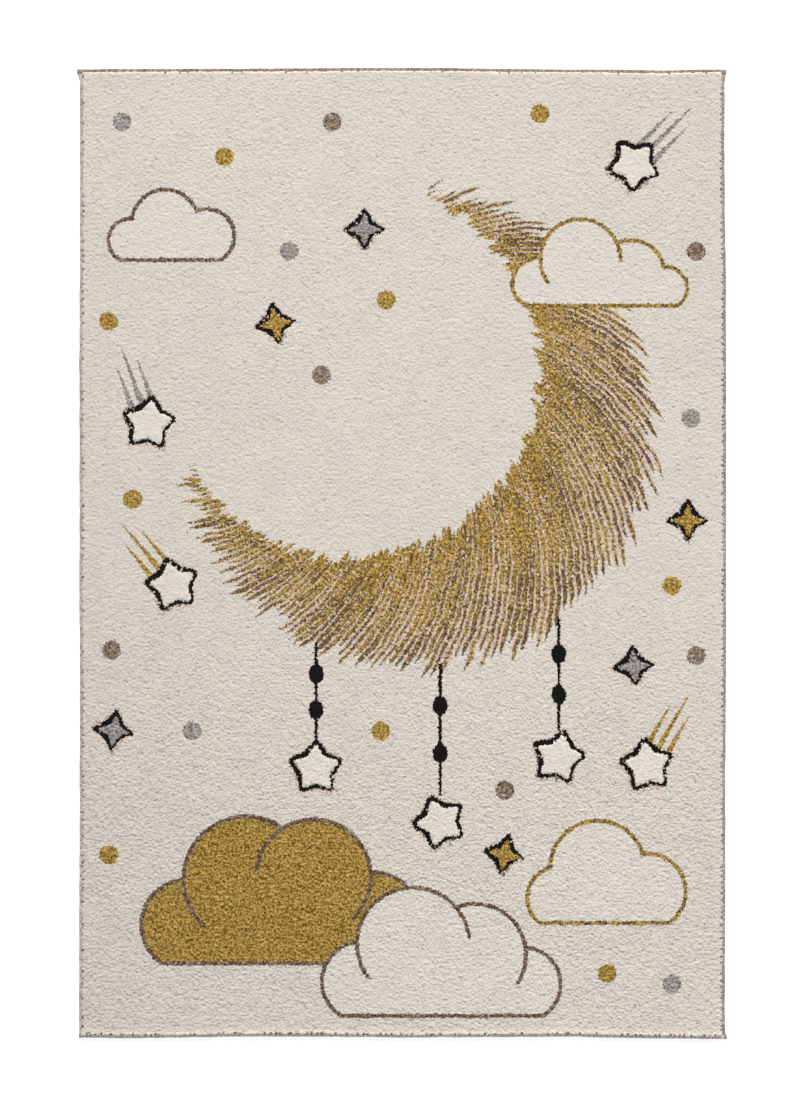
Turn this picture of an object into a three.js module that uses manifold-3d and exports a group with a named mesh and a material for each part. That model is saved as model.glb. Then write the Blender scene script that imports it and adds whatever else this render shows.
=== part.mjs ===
// A child's bedroom rug, lying flat: one machine-woven body with a short cut pile, and yarn serged
// round each of its four sides. Small stars stand a little above the pile, with carved outlines.
// Millimetres, +Z up. +Y is the rug's top end and +X its right side, seen from above.
// The origin lies on the floor under the middle of the rug.

import * as THREE from 'three';
import { mergeVertices } from 'three/addons/utils/BufferGeometryUtils.js';
import Module from 'manifold-3d';

const wasm = await Module();
wasm.setup();

// Driving sizes, over the serged edges
const RUG_WIDTH = 1200;
const RUG_LENGTH = 1800;
const PILE_TOP = 12;
const GROUND_THICKNESS = 2.2;

// Serged edge: yarn wrapped round the bare rim of the ground weave
const BINDING_WIDTH = 9.0;
const BINDING_HEIGHT = 5.0;
const YARN_UNDER_RIM = 1.0;
const YARN_OUTSIDE_RIM = 2.0;
const CLEARANCE = 0.3;

// Corners of a solid closer than this are one
const WELD = 1e-4;

// Bare rim of the ground weave, held clear of the floor by the yarn under it
const RIM_LOW = YARN_UNDER_RIM + CLEARANCE;
const RIM_HIGH = RIM_LOW + GROUND_THICKNESS;
const RIM_INSET = YARN_OUTSIDE_RIM + CLEARANCE;
const PILE_INSET = BINDING_WIDTH + CLEARANCE;

// Edge of the body in section, from its underside round to its top: the pile leans out over the
// yarn and its tips are rounded
const BODY_EDGE = [
  { inset: PILE_INSET, z: 0 },
  { inset: PILE_INSET, z: RIM_LOW },
  { inset: RIM_INSET, z: RIM_LOW },
  { inset: RIM_INSET, z: RIM_HIGH },
  { inset: PILE_INSET, z: RIM_HIGH },
  { inset: PILE_INSET, z: BINDING_HEIGHT + 2 * CLEARANCE },
  { inset: 7.2, z: 7.0 },
  { inset: 6.4, z: 9.4 },
  { inset: 7.2, z: 11.1 },
  { inset: 10.0, z: 11.8 },
  { inset: 15.0, z: PILE_TOP },
];

// Space that the yarn leaves for the rim
const RIM_SPACE = [
  { inset: YARN_OUTSIDE_RIM, z: YARN_UNDER_RIM },
  { inset: YARN_OUTSIDE_RIM, z: RIM_HIGH + CLEARANCE },
];

// Serged edge in section, before the rim's space is taken out of it, counterclockwise seen with
// the outside of the rug on the left
const BINDING_SECTION = [
  { inset: 1.2, z: 0 },
  { inset: 8.0, z: 0 },
  { inset: BINDING_WIDTH, z: 0.8 },
  { inset: BINDING_WIDTH, z: 4.2 },
  { inset: 7.8, z: BINDING_HEIGHT },
  { inset: 2.6, z: BINDING_HEIGHT },
  { inset: 0.8, z: 4.2 },
  { inset: 0, z: 2.7 },
  { inset: 0.2, z: 1.1 },
];

// Rounding of a yarn end: distance back from its tip, and thickness there
const YARN_END = [
  { back: 4.6, swell: 1 },
  { back: 2.2, swell: 1.05 },
  { back: 0.9, swell: 0.88 },
  { back: 0, swell: 0.6 },
];

// At each corner, how far the end's yarn stands out past the side, and how much wider the side's
// yarn gets there, over which distance from the rug's end
const CORNERS = {
  topLeft: { beyond: 5.6, flare: 4.3, over: 23 },
  topRight: { beyond: 3.2, flare: 2.6, over: 29 },
  bottomLeft: { beyond: 0.3, flare: 0, over: 22 },
  bottomRight: { beyond: 3.5, flare: 1.2, over: 22 },
};

// How far each side wanders out of true: the place along it and the distance outwards
const TOP_SIDE = [
  { along: -575, out: -0.7 },
  { along: -480, out: 0 },
  { along: -375, out: 0.2 },
  { along: -160, out: 0.8 },
  { along: -106, out: 1.9 },
  { along: 55, out: 2.0 },
  { along: 163, out: 0.3 },
  { along: 270, out: -0.7 },
  { along: 378, out: -1.3 },
  { along: 485, out: -2.8 },
  { along: 575, out: -1.0 },
];
const BOTTOM_SIDE = [
  { along: -575, out: 0.4 },
  { along: -535, out: 1.1 },
  { along: -425, out: 0.6 },
  { along: -320, out: -1.5 },
  { along: -215, out: -1.9 },
  { along: -105, out: -1.1 },
  { along: 0, out: 0.4 },
  { along: 110, out: -0.6 },
  { along: 325, out: -1.7 },
  { along: 430, out: 1.2 },
  { along: 575, out: 2.6 },
];
const LEFT_SIDE = [
  { along: -870, out: 1.3 },
  { along: -690, out: 0.6 },
  { along: -430, out: 0.2 },
  { along: -255, out: -0.4 },
  { along: -80, out: 0.4 },
  { along: 180, out: 0.2 },
  { along: 355, out: 0.6 },
  { along: 530, out: -0.4 },
  { along: 705, out: -0.7 },
  { along: 870, out: -0.4 },
];
const RIGHT_SIDE = [
  { along: -870, out: -0.9 },
  { along: -780, out: -0.6 },
  { along: -605, out: 0.4 },
  { along: -430, out: 0 },
  { along: -255, out: 1.3 },
  { along: 270, out: 1.7 },
  { along: 530, out: 1.3 },
  { along: 620, out: -0.6 },
  { along: 795, out: -1.9 },
  { along: 870, out: -1.3 },
];

// Small motifs, each in a carved outline: the stars' pile stands higher, the sparkles' doesn't
const MOTIFS = {
  star: { points: 5, tip: 46, waist: 27.6, rise: 1.2 },
  sparkle: { points: 4, tip: 32, waist: 13, rise: 0 },
};
const STEPS_PER_POINT = 6;
const TIP_BLUNTNESS = 0.92;
const CARVED_WIDTH = 9;
const CARVED_DEPTH = 1.5;
const PAD_BEVEL = 1.2;
const ROOT_DEPTH = 3;
const MOTIF_PLACES = [
  { kind: 'star', x: -160, y: -400, turn: 18 },
  { kind: 'star', x: 70, y: -500, turn: 40 },
  { kind: 'star', x: 290, y: -380, turn: 6 },
  { kind: 'star', x: -425, y: -60, turn: 30 },
  { kind: 'star', x: 430, y: 720, turn: 50 },
  { kind: 'star', x: -470, y: 240, turn: 12 },
  { kind: 'star', x: 455, y: -395, turn: 25 },
  { kind: 'sparkle', x: -70, y: 600, turn: 0 },
  { kind: 'sparkle', x: -235, y: 425, turn: 10 },
  { kind: 'sparkle', x: -535, y: -330, turn: -8 },
  { kind: 'sparkle', x: 430, y: -210, turn: 5 },
  { kind: 'sparkle', x: 190, y: -560, turn: -12 },
  { kind: 'sparkle', x: 530, y: 60, turn: 0 },
];

const PILE_MATERIAL = { color: 0xd7cec4, roughness: 0.95, metalness: 0 };
const BINDING_MATERIAL = { color: 0xa39686, roughness: 0.85, metalness: 0 };

// How far a side lies out of true at one place
function outAt(side, along) {
  const last = side[side.length - 1];
  if (along <= side[0].along) return side[0].out;
  if (along >= last.along) return last.out;
  const next = side.findIndex((row) => row.along > along);
  const before = side[next - 1];
  const after = side[next];
  const share = (along - before.along) / (after.along - before.along);
  return before.out + share * (after.out - before.out);
}

function endY(sign, x, inset) {
  const side = sign > 0 ? TOP_SIDE : BOTTOM_SIDE;
  return sign * (RUG_LENGTH / 2 + outAt(side, x) - inset);
}

function sideX(sign, y, inset) {
  const side = sign > 0 ? RIGHT_SIDE : LEFT_SIDE;
  return sign * (RUG_WIDTH / 2 + outAt(side, y) - inset);
}

// The outline at one inset, counterclockwise from the bottom left corner
function outline(inset) {
  const corner = (signX, signY) => [
    sideX(signX, signY * RUG_LENGTH, inset),
    endY(signY, signX * RUG_WIDTH, inset),
  ];
  const bottom = BOTTOM_SIDE.map(({ along }) => [along, endY(-1, along, inset)]);
  const right = RIGHT_SIDE.map(({ along }) => [sideX(1, along, inset), along]);
  const top = TOP_SIDE.map(({ along }) => [along, endY(1, along, inset)]).reverse();
  const left = LEFT_SIDE.map(({ along }) => [sideX(-1, along, inset), along]).reverse();
  return [
    corner(-1, -1), ...bottom,
    corner(1, -1), ...right,
    corner(1, 1), ...top,
    corner(-1, 1), ...left,
  ];
}

// Joins rings of equal length into one closed solid, with a flat cap at each end
function solidFromRings(rings, capFaces) {
  const count = rings[0].length;
  const positions = rings.flat(2);
  const faces = [];
  for (let ring = 0; ring < rings.length - 1; ring += 1) {
    for (let i = 0; i < count; i += 1) {
      const j = (i + 1) % count;
      const low = ring * count;
      const high = low + count;
      faces.push(low + i, low + j, high + j, low + i, high + j, high + i);
    }
  }
  const lastRing = (rings.length - 1) * count;
  for (const [a, b, c] of capFaces) {
    faces.push(a, c, b, lastRing + a, lastRing + b, lastRing + c);
  }
  const geometry = new THREE.BufferGeometry();
  geometry.setAttribute('position', new THREE.Float32BufferAttribute(positions, 3));
  geometry.setIndex(faces);
  return geometry;
}

function solidFromEdge(edge) {
  const rings = edge.map(({ inset, z }) => outline(inset).map(([x, y]) => [x, y, z]));
  const contour = rings[0].map(([x, y]) => new THREE.Vector2(x, y));
  return solidFromRings(rings, THREE.ShapeUtils.triangulateShape(contour, []));
}

function toManifold(geometry) {
  const bare = geometry.clone();
  bare.deleteAttribute('normal');
  bare.deleteAttribute('uv');
  const merged = mergeVertices(bare, WELD);
  const mesh = new wasm.Mesh({
    numProp: 3,
    vertProperties: Float32Array.from(merged.attributes.position.array),
    triVerts: Uint32Array.from(merged.index.array),
  });
  return new wasm.Manifold(mesh);
}

function toGeometry(manifold) {
  const mesh = manifold.getMesh();
  const geometry = new THREE.BufferGeometry();
  geometry.setAttribute('position', new THREE.BufferAttribute(mesh.vertProperties, 3));
  geometry.setIndex(new THREE.BufferAttribute(mesh.triVerts, 1));
  return geometry;
}

// A motif's outline, grown by a margin for what is carved round it
function motifShape({ points, tip, waist }, margin) {
  const half = Math.PI / points;
  const steps = points * STEPS_PER_POINT;
  const far = tip + margin;
  const near = waist + margin;
  const corners = [];
  for (let i = 0; i < steps; i += 1) {
    const angle = (2 * Math.PI * i) / steps;
    const fromTip = Math.abs(((angle + half) % (2 * half)) - half);
    const side = (far * near * Math.sin(half))
      / (near * Math.sin(half - fromTip) + far * Math.sin(fromTip));
    const radius = Math.min(side, TIP_BLUNTNESS * far);
    corners.push(new THREE.Vector2(radius * Math.cos(angle), radius * Math.sin(angle)));
  }
  return new THREE.Shape(corners);
}

function prism(shape, low, high, bevel) {
  const geometry = new THREE.ExtrudeGeometry(shape, {
    depth: high - low - 2 * bevel,
    bevelEnabled: bevel > 0,
    bevelThickness: bevel,
    bevelSize: bevel,
    bevelOffset: -bevel,
    bevelSegments: 1,
  });
  return geometry.translate(0, 0, low + bevel);
}

function placed(geometry, { x, y, turn }) {
  return toManifold(geometry.rotateZ(THREE.MathUtils.degToRad(turn)).translate(x, y, 0));
}

function rugBody() {
  const carvedLow = PILE_TOP - CARVED_DEPTH;
  const carvedHigh = PILE_TOP + CARVED_DEPTH;
  const padLow = carvedLow - ROOT_DEPTH;
  let body = toManifold(solidFromEdge(BODY_EDGE));
  for (const place of MOTIF_PLACES) {
    const motif = MOTIFS[place.kind];
    const carving = prism(motifShape(motif, CARVED_WIDTH), carvedLow, carvedHigh, 0);
    const pad = prism(motifShape(motif, 0), padLow, PILE_TOP + motif.rise, PAD_BEVEL);
    body = body.subtract(placed(carving, place)).add(placed(pad, place));
  }
  return toGeometry(body);
}

function cornerAt(signX, signY) {
  if (signY > 0) return signX > 0 ? CORNERS.topRight : CORNERS.topLeft;
  return signX > 0 ? CORNERS.bottomRight : CORNERS.bottomLeft;
}

// A length of serged edge: the section is carried along stations { point, swell }, where point
// turns an inset into a place in plan
function serging(stations) {
  const middle = BINDING_WIDTH / 2;
  const rings = stations.map(({ point, swell }) => BINDING_SECTION.map(({ inset, z }) => {
    const [x, y] = point(middle + swell * (inset - middle));
    return [x, y, swell * z];
  }));
  const contour = BINDING_SECTION.map(({ inset, z }) => new THREE.Vector2(inset, z));
  const bar = toManifold(solidFromRings(rings, THREE.ShapeUtils.triangulateShape(contour, [])));
  return toGeometry(bar.subtract(toManifold(solidFromEdge(RIM_SPACE))));
}

// Top or bottom edge, from left to right, with its yarn ends past the corners
function endBinding(sign) {
  const table = sign > 0 ? TOP_SIDE : BOTTOM_SIDE;
  const station = (x, swell) => ({ swell, point: (inset) => [x, endY(sign, x, inset)] });
  const yarnEnd = (side) => YARN_END.map(({ back, swell }) => (
    station(sideX(side, sign * RUG_LENGTH, back - cornerAt(side, sign).beyond), swell)
  ));
  const stations = [
    ...yarnEnd(-1).reverse(),
    ...table.map(({ along }) => station(along, 1)),
    ...yarnEnd(1),
  ];
  return serging(sign > 0 ? stations.reverse() : stations);
}

// Left or right edge, stopping short of the top and bottom ones, its outside wider at its ends
function sideBinding(sign) {
  const table = sign > 0 ? RIGHT_SIDE : LEFT_SIDE;
  const station = (y, wider) => ({
    swell: 1,
    point: (inset) => [sideX(sign, y, inset - wider * (1 - inset / BINDING_WIDTH)), y],
  });
  const ending = (end) => {
    const { flare, over } = cornerAt(sign, end);
    const stop = endY(end, sign * RUG_WIDTH, PILE_INSET);
    const start = end * (RUG_LENGTH / 2 - over);
    return [station(start, 0), station((start + stop) / 2, 0.55 * flare), station(stop, flare)];
  };
  const stations = [
    ...ending(-1).reverse(),
    ...table.map(({ along }) => station(along, 0)),
    ...ending(1),
  ];
  return serging(sign > 0 ? stations : stations.reverse());
}

function mesh(name, geometry, look) {
  const part = new THREE.Mesh(geometry, new THREE.MeshStandardMaterial(look));
  part.name = name;
  return part;
}

const rug = new THREE.Group();
rug.add(mesh('rug_body', rugBody(), PILE_MATERIAL));
rug.add(mesh('binding_left', sideBinding(-1), BINDING_MATERIAL));
rug.add(mesh('binding_right', sideBinding(1), BINDING_MATERIAL));
rug.add(mesh('binding_top', endBinding(1), BINDING_MATERIAL));
rug.add(mesh('binding_bottom', endBinding(-1), BINDING_MATERIAL));

// The wandering sides leave the outline a little off centre, so the rug is brought back over its origin
const middle = new THREE.Box3().setFromObject(rug).getCenter(new THREE.Vector3());
rug.position.set(-middle.x, -middle.y, 0);

export default rug;
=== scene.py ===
import math

import bpy
import numpy as np
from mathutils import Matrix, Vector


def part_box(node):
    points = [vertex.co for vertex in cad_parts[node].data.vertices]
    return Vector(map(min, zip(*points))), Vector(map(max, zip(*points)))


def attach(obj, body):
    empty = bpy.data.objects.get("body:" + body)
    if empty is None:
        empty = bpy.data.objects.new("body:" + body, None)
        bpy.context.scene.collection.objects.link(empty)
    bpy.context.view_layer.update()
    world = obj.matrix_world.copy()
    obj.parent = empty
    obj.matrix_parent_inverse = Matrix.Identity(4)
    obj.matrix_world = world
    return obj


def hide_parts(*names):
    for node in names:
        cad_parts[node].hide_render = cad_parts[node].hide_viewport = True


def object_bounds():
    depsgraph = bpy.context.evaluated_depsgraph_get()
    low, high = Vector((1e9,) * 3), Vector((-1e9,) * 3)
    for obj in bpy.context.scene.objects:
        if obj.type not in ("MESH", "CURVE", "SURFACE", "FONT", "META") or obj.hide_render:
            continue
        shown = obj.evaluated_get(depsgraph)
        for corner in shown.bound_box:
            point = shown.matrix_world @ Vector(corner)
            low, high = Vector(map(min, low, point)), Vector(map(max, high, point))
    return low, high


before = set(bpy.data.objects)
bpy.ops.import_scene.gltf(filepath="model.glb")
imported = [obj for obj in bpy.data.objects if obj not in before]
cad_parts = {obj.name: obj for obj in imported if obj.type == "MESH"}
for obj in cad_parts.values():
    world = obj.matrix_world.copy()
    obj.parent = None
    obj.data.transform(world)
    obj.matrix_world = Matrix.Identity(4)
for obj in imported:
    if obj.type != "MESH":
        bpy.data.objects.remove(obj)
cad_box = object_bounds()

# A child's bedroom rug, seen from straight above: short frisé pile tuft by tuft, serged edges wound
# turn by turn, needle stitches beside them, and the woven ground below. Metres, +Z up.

MM = 0.001
SEEDS = {"all": 20, "wobble": 12, "ragged": 11, "drift": 14, "strokes": 7, "stitches": 15}
rng = np.random.default_rng(SEEDS["all"])

# Pile: tufts in a grid, each a low pyramid. Its walls go down in levels, each with how far it is drawn
# in from the pile's top edge, and how near its yarn is to the lighter tone, a painted shade that deepens
# towards the ground.
TUFT_PITCH = 3.5 * MM
STAR_RISE = 1.2 * MM
PILE_INSETS = {"left": 6.2 * MM, "right": 6.4 * MM, "bottom": 6.2 * MM, "top": 7.0 * MM}
PILE_ROOT_INSET = 9.3 * MM
PILE_WALL = [
    {"z": 10.2 * MM, "in": 0.0, "tip": 0.6},
    {"z": 8.0 * MM, "in": 0.4 * MM, "tip": 0.3},
    {"z": 6.0 * MM, "in": 1.6 * MM, "tip": 0.1},
    {"z": 5.2 * MM, "in": 3.2 * MM, "tip": 0.0},
]
WALL_JITTER = {"out": 0.35 * MM, "up": 0.2 * MM}
STRIPS = 4

# How far a tuft's corners lie below its middle, how uneven its height, place and painted light are, in
# shares of a tuft where they aren't lengths, and how often one of its faces takes the yarn of the tuft
# beside it
VALLEY = 0.25 * MM
CRIMP = 0.66 * MM
CRIMP_LIMIT = 2
CORNER_CRIMP = {"shared": 0.5, "own": 0.6}
CENTRE_JITTER = 0.14
CORNER_JITTER = 0.18
JITTER_LIMIT = 1.5
WOBBLE = 1.6 * MM
# Painted light and shade: how near a tuft's middle and corners come to the lighter tone, the corners in
# painted shade, and how much nearer a higher tuft comes
PAINTED_LIGHT_SHARES = {"middle": 0.55, "corner": 0.45, "uneven": 0.20}
FRAYED = 0.10

# How coarse the crimp is at places along the rug, from its bottom edge at 0 to its top edge at 1
COARSENESS = {"at": [0.25, 0.50, 0.80], "is": [1.27, 0.82, 0.85]}

# Tone of the pile, partly painted light: its mean, the painted light that it gains towards the top, what
# it gains towards the lower right, what it loses towards both long sides, and a faint nap painted as
# soft patches of shade. Then the mottle of a tuft and of a face, in shares of its yarn's.
TONE_AND_PAINTED_LIGHT = {"mean": 0.987, "up": 0.036, "low_right": 0.025, "sides": 0.03, "painted_nap_shade": 0.010}
NAP_PASSES = 60
MOTTLE = {"tuft": 0.7, "face": 0.7}

# Serged edges: a ring of points at each step, boxy in section and ridged by the turns of the yarn,
# which slant as they go round. The long sides are straight up to STRAIGHT_SIDE from the middle.
BINDING_WIDTH = 9.0 * MM
BINDING_HEIGHT = 5.0 * MM
OUTER_LINE_HEIGHT = 2.7 * MM
STRAIGHT_SIDE = 870 * MM
YARN_PITCH = 2.8 * MM
STEPS_PER_TURN = 4
SECTION_POINTS = 10
BOXINESS = 0.72
YARN_RIDGE = 0.35 * MM
RIDGE_ROUNDNESS = 0.7
TURN_SLANT = {"up": 0.35, "across": 0.6}
YARN_JITTER = 0.15 * MM
SLACK = {"steps": 41, "by": 0.25 * MM, "limit": 2}

# Ground weave: the bare rim that the serging holds, as in the solids, and its top under the pile
RIM_INSET = 2.3 * MM
RIM_LOW = 1.3 * MM
RIM_HIGH = 3.5 * MM
GROUND_TOP = 6.5 * MM
GROUND_STEPS = 60
JUTE = (196, 178, 150)

# Black outlines of the small motifs: how wide and how deep they are, how much wider at the upper left,
# how frayed, and the painted shadow beside them: how far it reaches, and the most of its tufts it takes
OUTLINE = 9.5 * MM
OUTLINE_LEAN = 1.6 * MM
OUTLINE_FRAY = 2.4 * MM
CARVED = 1.5 * MM
PAINTED_SHADOW_REACH = 9 * MM
PAINTED_SHADOW_SHARE = 0.7

# Other lines and dots, and the height of a cloud's flat part as a share of its end puffs
LINE_CARVED = 0.5 * MM
CLOUD_LINE = 7.5 * MM
SLAB_RISE = 0.3
DOT_RADIUS = 17.5 * MM
THREAD_WIDTH = 6 * MM

# The pile's outermost tufts: rows with a painted highlight along the bottom and top edges, how far the
# serging pushes the bottom rows up, and how far the edge drops on the other three sides
LIT_RIM_ROWS = (0, 1, -1)
RIM_PUSH = (1.8 * MM, 1.1 * MM, 0.4 * MM)
RIM_DROP = 0.6 * MM

# Yarns: sRGB of the lighter tips and the darker hollows, which are painted highlight and painted shade
# about the yarn's own colour, how deep the crimp is, how uneven the dye is
YARNS = {
    "field": {"light": (221, 213, 203), "dark": (217, 208, 198), "relief": 1.0, "mottle": 0.010},
    "cream": {"light": (224, 217, 207), "dark": (219, 211, 201), "relief": 0.9, "mottle": 0.010},
    "blush": {"light": (224, 204, 190), "dark": (194, 170, 154), "relief": 1.2, "mottle": 0.06},
    "white": {"light": (227, 221, 211), "dark": (222, 215, 205), "relief": 0.7, "mottle": 0.010},
    # painted highlight on the pile's outermost rows
    "rim": {"light": (234, 226, 215), "dark": (227, 218, 207), "relief": 1.0, "mottle": 0.02},
    "mustard": {"light": (210, 174, 97), "dark": (118, 88, 9), "relief": 1.4, "mottle": 0.12},
    "amber": {"light": (213, 170, 95), "dark": (124, 88, 11), "relief": 1.4, "mottle": 0.12},
    "olive": {"light": (204, 174, 93), "dark": (110, 90, 7), "relief": 1.4, "mottle": 0.12},
    "bark": {"light": (148, 118, 78), "dark": (80, 59, 32), "relief": 1.4, "mottle": 0.14},
    "grey": {"light": (186, 181, 176), "dark": (118, 114, 110), "relief": 1.4, "mottle": 0.14},
    "taupe": {"light": (174, 152, 135), "dark": (106, 87, 73), "relief": 1.4, "mottle": 0.14},
    "brown": {"light": (128, 103, 80), "dark": (72, 54, 40), "relief": 1.4, "mottle": 0.14},
    "black": {"light": (16, 9, 4), "dark": (1, 0, 0), "relief": 1.2, "mottle": 0.10},
    # dark stitch yarn, partly painted shadow of the gaps at the pile's edge
    "stitch": {"light": (150, 136, 122), "dark": (108, 97, 86), "relief": 1.0, "mottle": 0.15},
}
INDEX = {name: place for place, name in enumerate(YARNS)}

# Blends of yarn: each one's share of the tufts, which drifts over the rug. A stray tuft here and there
# is left out of a motif's outline, or has the wrong yarn in the moon.
BLENDS = {
    "gold_line": {"mustard": 0.50, "olive": 0.28, "brown": 0.22},
    "umber_line": {"brown": 0.60, "taupe": 0.40},
    "gold_fill": {"mustard": 0.62, "olive": 0.19, "amber": 0.19},
    "grey_fill": {"grey": 0.92, "taupe": 0.08},
    "taupe_fill": {"taupe": 0.82, "grey": 0.10, "brown": 0.08},
    # painted shadow beside the motifs' outlines
    "halo": {"blush": 0.30, "taupe": 0.70},
}
DRIFT = 0.10
DRIFT_PASSES = 30
STRAY_SHARE = 0.05
STRAY_SCRAMBLE = 37

# Moon: the space between two circles, filled with slanting strokes of mixed yarns
MOON = {"x": 30 * MM, "y": 230 * MM, "r": 450 * MM}
MOON_HOLLOW = {"x": -95 * MM, "y": 340 * MM, "r": 345 * MM}
THIN_HORN = 24 * MM
STROKE_PITCH = 10.5 * MM
STROKE_SLANT = 0.6
STROKE_START = 400
STROKE_COUNT = 512
STROKE_WIDTH = {"first": 0.50, "narrowing": 0.27, "uneven": 0.22}
STROKE_FRAY = 0.05

# The strokes' ragged ends: how deep they are, what share lies outside, how far the middles lead
RIM_END = {"depth": 40 * MM, "outside": 0.45, "lead": 1.1}
HOLLOW_END = {"depth": 20 * MM, "outside": 0.5, "lead": 1.0}

# A stroke's yarns, each up to a limit, and the darkest past them: picked from the segment of the
# stroke, the tuft, the way outwards and the shaded side of the stroke
STROKE_YARNS = {"mustard": 0.44, "olive": 0.58, "bark": 0.86}
DARKEST_YARN = "brown"
SEGMENT = 55 * MM
SEGMENT_COUNT = 64
SEGMENT_SHIFT = 9
PICK = {"segment": 0.45, "tuft": 0.58, "outwards": 0.42}
SHADED_SIDE = {"from": 0.2, "darker": 0.30, "else": -0.06}

# Clouds: round puffs (x, y, radius) on a level base, in millimetres, later clouds in front. A curl is
# a puff's outline carried on over the puff beside it, down to a height: (puff, other puff, height).
CLOUDS = [
    {"fill": "gold_fill", "line": "umber_line", "base": -765,
     "puffs": [(-400, -690, 88), (-290, -605, 120), (-165, -600, 110), (-55, -680, 92)],
     "curls": [(1, 0, -695), (2, 1, -590), (2, 3, -680)]},
    {"fill": "cream", "line": "gold_line", "base": -690,
     "puffs": [(290, -640, 62), (362, -585, 92), (455, -628, 74)],
     "curls": []},
    {"fill": "cream", "line": "umber_line", "base": -862,
     "puffs": [(-75, -795, 78), (20, -725, 108), (135, -745, 98), (225, -800, 72)],
     "curls": [(1, 0, -790), (1, 2, -715), (2, 3, -800)]},
    {"fill": "cream", "line": "umber_line", "base": 540,
     "puffs": [(-505, 580, 44), (-440, 612, 66), (-362, 588, 54)],
     "curls": []},
    {"fill": "cream", "line": "gold_line", "base": 455,
     "puffs": [(250, 500, 50), (330, 545, 78), (425, 520, 64), (490, 492, 42)],
     "curls": [(1, 0, 500), (1, 2, 540)]},
]

# Small motifs, at the places in millimetres where the solids have them, and what each is filled with
MOTIFS = {
    "star": {"points": 5, "tip": 46 * MM, "waist": 27.6 * MM, "rise": STAR_RISE},
    "sparkle": {"points": 4, "tip": 32 * MM, "waist": 13 * MM, "rise": 0},
}
TIP_BLUNTNESS = 0.92
MOTIF_PLACES = [
    {"kind": "star", "x": -160, "y": -400, "turn": 18, "yarn": "white"},
    {"kind": "star", "x": 70, "y": -500, "turn": 40, "yarn": "white"},
    {"kind": "star", "x": 290, "y": -380, "turn": 6, "yarn": "white"},
    {"kind": "star", "x": -425, "y": -60, "turn": 30, "yarn": "white"},
    {"kind": "star", "x": 430, "y": 720, "turn": 50, "yarn": "white"},
    {"kind": "star", "x": -470, "y": 240, "turn": 12, "yarn": "white"},
    {"kind": "star", "x": 455, "y": -395, "turn": 25, "yarn": "white"},
    {"kind": "sparkle", "x": -70, "y": 600, "turn": 0, "yarn": "grey_fill"},
    {"kind": "sparkle", "x": -235, "y": 425, "turn": 10, "yarn": "gold_fill"},
    {"kind": "sparkle", "x": -535, "y": -330, "turn": -8, "yarn": "grey_fill"},
    {"kind": "sparkle", "x": 430, "y": -210, "turn": 5, "yarn": "grey_fill"},
    {"kind": "sparkle", "x": 190, "y": -560, "turn": -12, "yarn": "gold_fill"},
    {"kind": "sparkle", "x": 530, "y": 60, "turn": 0, "yarn": "gold_fill"},
]

# Three tapering strokes behind some of the stars, in millimetres. Each star is given by its place in the
# list of motifs, from 0, and its strokes by the way they point, in degrees.
TAILS = [
    {"star": 3, "turn": 130, "yarn": "gold_fill"},
    {"star": 4, "turn": 45, "yarn": "grey_fill"},
    {"star": 5, "turn": 110, "yarn": "grey_fill"},
    {"star": 6, "turn": 60, "yarn": "gold_fill"},
]
TAIL_STROKES = [
    {"across": -20, "reach": 118},
    {"across": 0, "reach": 150},
    {"across": 20, "reach": 118},
]
TAIL_HALF_WIDTH = 6.5 * MM
TAIL_TAPER = 1.15

# Threads that hang stars from the moon, with beads on them, in millimetres
THREADS = [
    {"x": -160, "top": -165, "low": -350},
    {"x": 70, "top": -205, "low": -450},
    {"x": 290, "top": -120, "low": -330},
]
BEAD_PLACES = (0.32, 0.68)
BEAD_HALF = (14 * MM, 18 * MM)

# Dots, at places in millimetres
DOTS = [
    {"x": -520, "y": 800, "yarn": "grey_fill"}, {"x": -330, "y": 735, "yarn": "gold_fill"},
    {"x": -130, "y": 800, "yarn": "taupe_fill"}, {"x": 255, "y": 815, "yarn": "gold_fill"},
    {"x": 545, "y": 560, "yarn": "taupe_fill"}, {"x": -545, "y": 430, "yarn": "gold_fill"},
    {"x": -210, "y": 560, "yarn": "grey_fill"}, {"x": -30, "y": 470, "yarn": "gold_fill"},
    {"x": -150, "y": 330, "yarn": "taupe_fill"}, {"x": 535, "y": 250, "yarn": "grey_fill"},
    {"x": -540, "y": -180, "yarn": "taupe_fill"}, {"x": -500, "y": 100, "yarn": "gold_fill"},
    {"x": 500, "y": -60, "yarn": "gold_fill"}, {"x": -390, "y": -330, "yarn": "grey_fill"},
    {"x": 190, "y": -440, "yarn": "taupe_fill"}, {"x": -40, "y": -330, "yarn": "gold_fill"},
    {"x": 500, "y": -800, "yarn": "grey_fill"}, {"x": 545, "y": -190, "yarn": "taupe_fill"},
    {"x": 380, "y": -780, "yarn": "gold_fill"}, {"x": -545, "y": -560, "yarn": "gold_fill"},
]

# Needle stitches that press into the pile beside each serged edge, their dark yarn partly painted shadow
# of the gaps at the pile's edge: how many tufts apart, what share of them shows, how deep they are, and
# between what shares of that spacing they really lie
STITCHES = {
    "left": {"every": 4.0, "share": 0.60, "depth": 1.2 * MM},
    "right": {"every": 3.0, "share": 0.70, "depth": 1.2 * MM},
    "bottom": {"every": 2.2, "share": 0.40, "depth": 0.7 * MM},
    "top": {"every": 7.0, "share": 0.30, "depth": 1.0 * MM},
}
STITCH_SPACING = {"least": 0.6, "range": 0.8}

# How near a corner of the solids has to be to a height to belong to it
LEVEL = 0.05 * MM


def randoms(name):
    """A source of random numbers of its own, so that one part of the design doesn't change another."""
    return np.random.default_rng(SEEDS[name])


def linear(srgb):
    """Scene-linear colour of an sRGB one given from 0 to 255."""
    c = np.asarray(srgb, float) / 255
    return np.where(c <= 0.04045, c / 12.92, ((c + 0.055) / 1.055) ** 2.4)


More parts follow.
